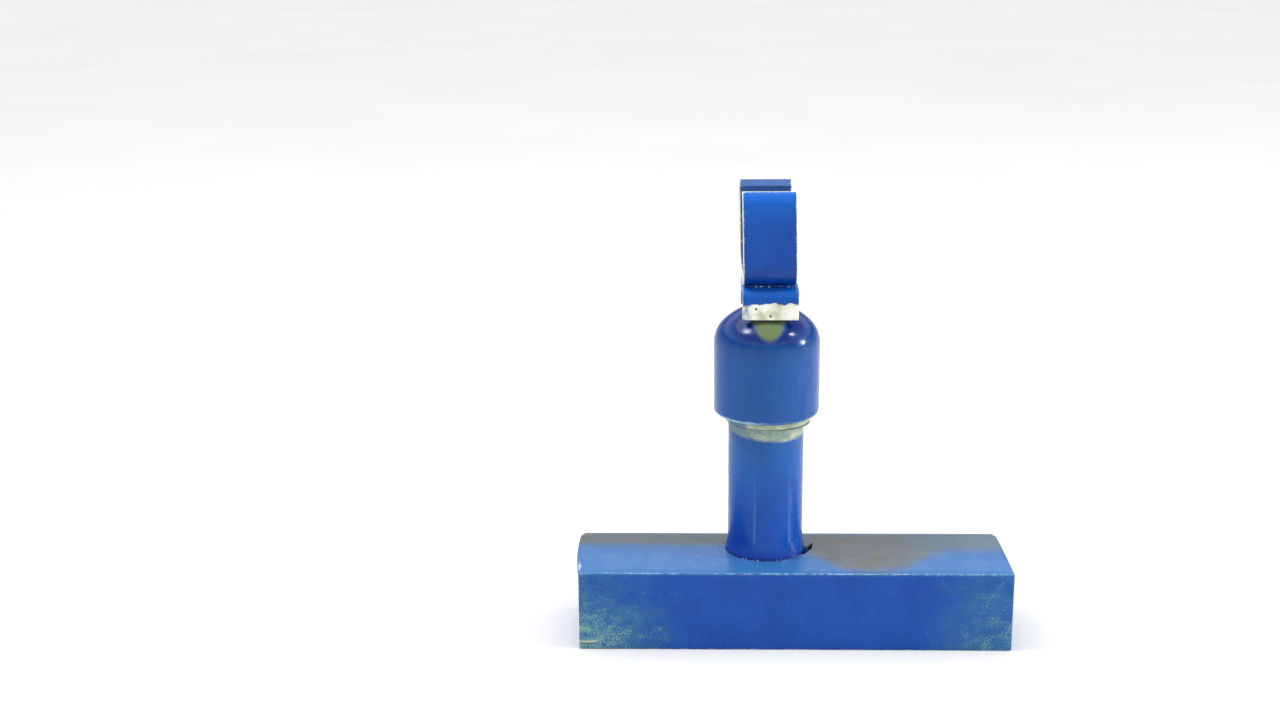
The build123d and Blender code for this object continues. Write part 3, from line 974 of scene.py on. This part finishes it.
def saddle():
    half = (SADDLE_HI.y - SADDLE_LO.y) / 2
    top, foot = SADDLE_HI.z, SADDLE_LO.z
    inner_bend = SADDLE_BEND - STRIP
    outer = run((half, foot), (half, top - SADDLE_BEND), 6)
    outer += arc(half - SADDLE_BEND, top - SADDLE_BEND, SADDLE_BEND, 0, 90, 8)
    outer += run((half - SADDLE_BEND - 0.8 * MM, top), (0.0, top), 8)
    inner = run((half - STRIP, foot), (half - STRIP, top - SADDLE_BEND), 6)
    inner += arc(half - SADDLE_BEND, top - SADDLE_BEND, inner_bend, 0, 90, 4)
    inner += run((half - SADDLE_BEND - 0.8 * MM, top - STRIP), (0.0, top - STRIP), 8)
    loop = outer + [(0.0, top)] + [(-y, z) for y, z in outer[::-1]]
    loop += [(-y, z) for y, z in inner] + [(0.0, top - STRIP)] + inner[::-1]
    outline = [(AXIS.y + y, z) for y, z in loop]
    centre_x = (SADDLE_LO.x + SADDLE_HI.x) / 2
    loops = strip_sections(outline, centre_x, SADDLE_HI.x - SADDLE_LO.x - 0.1 * MM, 24, 0.3 * MM)
    piece = skin("clip_saddle_bent", loops, smooth_angle=40)
    set_wear(piece, strip_wear(SADDLE_LO, SADDLE_HI))
    stand_for(piece, "clip_saddle", "head", PAINT_SADDLE)


def lump(name, lo, hi, steps, push):
    """Rounded lump of glue filling a box: a fine block with its corners drawn in, then moved by push."""
    bm = bmesh.new()
    bmesh.ops.create_cube(bm, size=1.0)
    bmesh.ops.subdivide_edges(bm, edges=bm.edges, cuts=steps, use_grid_fill=True)
    size = hi - lo
    middle = (hi + lo) / 2
    for v in bm.verts:
        unit = v.co * 2
        power = 6.0
        reach = sum(abs(c) ** power for c in unit) ** (1 / power)
        unit = unit / max(reach, 1e-6) * max(abs(c) for c in unit)
        place = Vector(middle[i] + unit[i] * size[i] / 2 for i in range(3))
        v.co = push(place, unit)
    return object_from(name, bm, 60)


def dome_height(p):
    """Height of the dome's outside over a point."""
    r = math.hypot(p.x - AXIS.x, p.y - AXIS.y)
    outline = dome_outline(18)[0]
    for (r0, z0), (r1, z1) in zip(outline, outline[1:]):
        if r1 <= r <= r0:
            return z0 + (z1 - z0) * (r0 - r) / max(r0 - r1, 1e-9)
    return outline[-1][1] if r < outline[-1][0] else outline[0][1]


def saddle_glue():
    lo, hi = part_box("saddle_cement")

    def push(p, unit):
        out = Vector((unit.x, unit.y, 0))
        p += out * 0.35 * MM * wobble(p, 2.2 * MM, 23.0)
        sink = dome_height(p) - 0.25 * MM
        if unit.z < 0:
            p.z = min(sink, p.z) if unit.z < -0.6 else p.z
            p.z = max(p.z, sink)
        p.y = max(lo.y + 0.05 * MM, min(hi.y - 0.05 * MM, p.y))
        return p

    piece = lump("saddle_glue", lo, hi, 22, push)
    stand_for(piece, "saddle_cement", "head", GLUE_SADDLE)


def band_glue():
    """Flat bed of glue under the band, squeezed out into the creases before and behind it."""
    lo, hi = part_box("band_cement")
    half = (hi.y - lo.y) / 2
    loops = []
    count = 30
    for k in range(count + 1):
        t = k / count
        x = lo.x + (hi.x - lo.x) * t
        ends = min(1.0, min(t, 1 - t) / 0.06) ** 0.5
        upper, lower = [], []
        for j in range(21):
            u = j / 10 - 1
            ragged = abs(wobble((x, math.copysign(1, u), 0.2), 2.2 * MM, 25.0))
            y = u * (half * (0.93 + 0.07 * ends) - 0.35 * MM * ragged)
            edge = max(0.0, (abs(u) - 0.9) / 0.1)
            top = band_underside(y) + 0.12 * MM
            upper.append((y, top - (top - lo.z) * 0.35 * edge))
            lower.append((y * (1 - 0.01 * edge), lo.z - 0.12 * MM))
        loops.append([Vector((x, AXIS.y + y, z)) for y, z in upper + lower[::-1]])
    piece = skin("band_glue", loops, smooth_angle=60)
    stand_for(piece, "band_cement", "head", GLUE_BAND)


base_panels()
post()
foot_glue()
bush()
head()
saddle()
saddle_glue()
band()
band_glue()


# ---------------------------------------------------------------- stage, light and camera
# brightness of the room by the sine of the height looked at, from level to straight up
ROOM_STOPS = (
    (0.0, (0.56, 0.56, 0.56)),
    (0.12, (0.52, 0.52, 0.52)),
    (0.16, (0.13, 0.128, 0.118)),
    (0.31, (0.13, 0.128, 0.118)),
    (0.335, (1.20, 1.20, 1.20)),
    (0.50, (1.15, 1.15, 1.15)),
    (0.62, (0.55, 0.55, 0.55)),
    (1.0, (0.55, 0.55, 0.55)),
)
ROOM_STRENGTH = 1.15
CEILING_POWER = 2.3
CEILING_SPREAD = math.radians(70)
LAMP_AIM_Z = 84 * MM
LAMP_DISTANCE = 0.9
CAMERA_PLACE = (-0.02634, -0.44722, 0.19620)
CAMERA_PITCH, CAMERA_YAW, CAMERA_ROLL = 0.26435, -0.0318, -0.00847
CAMERA_LENS = 49.92


def floor():
    bm = bmesh.new()
    bmesh.ops.create_grid(bm, x_segments=1, y_segments=1, size=6.0)
    plane = object_from("floor", bm)
    s = Shade("floor_paper")
    colour = s.mix(s.ramp(s.noise(0.2, 2.0), 0.3, 0.7), (0.58, 0.58, 0.58), (0.60, 0.60, 0.60))
    s.put(s.shader.inputs["Base Color"], colour)
    s.shader.inputs["Roughness"].default_value = 0.9
    plane.data.materials.append(s.material)


def room_light():
    """White room with a dull brownish band low behind the stand, which its glossy top reflects."""
    world = bpy.data.worlds.new("room")
    bpy.context.scene.world = world
    world.use_nodes = True
    tree = world.node_tree
    place = tree.nodes.new("ShaderNodeTexCoord").outputs["Generated"]
    split = tree.nodes.new("ShaderNodeSeparateXYZ")
    tree.links.new(place, split.inputs[0])
    ramp = tree.nodes.new("ShaderNodeValToRGB")
    elements = ramp.color_ramp.elements
    while len(elements) < len(ROOM_STOPS):
        elements.new(0.5)
    for element, (height, colour) in zip(elements, ROOM_STOPS):
        element.position = height
        element.color = (*colour, 1)
    tree.links.new(split.outputs["Z"], ramp.inputs[0])
    background = tree.nodes["Background"]
    tree.links.new(ramp.outputs[0], background.inputs[0])
    background.inputs[1].default_value = ROOM_STRENGTH


def overhead_light():
    """Wide soft light from the ceiling, even over the whole floor."""
    data = bpy.data.lights.new("ceiling", "SUN")
    data.energy = CEILING_POWER
    data.angle = CEILING_SPREAD
    light = bpy.data.objects.new("ceiling", data)
    light.rotation_euler = (math.radians(-10), math.radians(-8), 0)
    bpy.context.scene.collection.objects.link(light)


def lamp(name, azimuth, elevation, size, power):
    """Small soft lamp in a direction seen from the head."""
    a, e = math.radians(azimuth), math.radians(elevation)
    out = Vector((math.cos(a) * math.cos(e), math.sin(a) * math.cos(e), math.sin(e)))
    data = bpy.data.lights.new(name, "AREA")
    data.shape = "RECTANGLE"
    data.size = data.size_y = size
    data.energy = power
    light = bpy.data.objects.new(name, data)
    light.location = Vector((AXIS.x, AXIS.y, LAMP_AIM_Z)) + out * LAMP_DISTANCE
    light.rotation_mode = "QUATERNION"
    light.rotation_quaternion = (-out).to_track_quat("-Z", "Y")
    bpy.context.scene.collection.objects.link(light)


def camera():
    """Camera a little above the stand, looking slightly down."""
    data = bpy.data.cameras.new("camera")
    data.sensor_width = 36.0
    data.lens = CAMERA_LENS
    data.clip_start, data.clip_end = 0.01, 30.0
    view = bpy.data.objects.new("camera", data)
    pitch, yaw, roll = CAMERA_PITCH, CAMERA_YAW, CAMERA_ROLL
    forward = Vector((math.sin(yaw) * math.cos(pitch), math.cos(yaw) * math.cos(pitch), -math.sin(pitch)))
    right = Vector((math.cos(yaw), -math.sin(yaw), 0.0))
    up = right.cross(forward)
    side = right * math.cos(roll) + up * math.sin(roll)
    up = up * math.cos(roll) - right * math.sin(roll)
    turned = Matrix((side, up, -forward)).transposed().to_4x4()
    view.matrix_world = Matrix.Translation(CAMERA_PLACE) @ turned
    bpy.context.scene.collection.objects.link(view)
    bpy.context.scene.camera = view


floor()
room_light()
overhead_light()
lamp("window_right", -7, 12, 0.17, 4.0)
lamp("lamp_right", -14, 46, 0.15, 2.6)
lamp("lamp_left", -173, 58, 0.09, 3.2)
camera()
bpy.context.scene.view_settings.view_transform = "Standard"
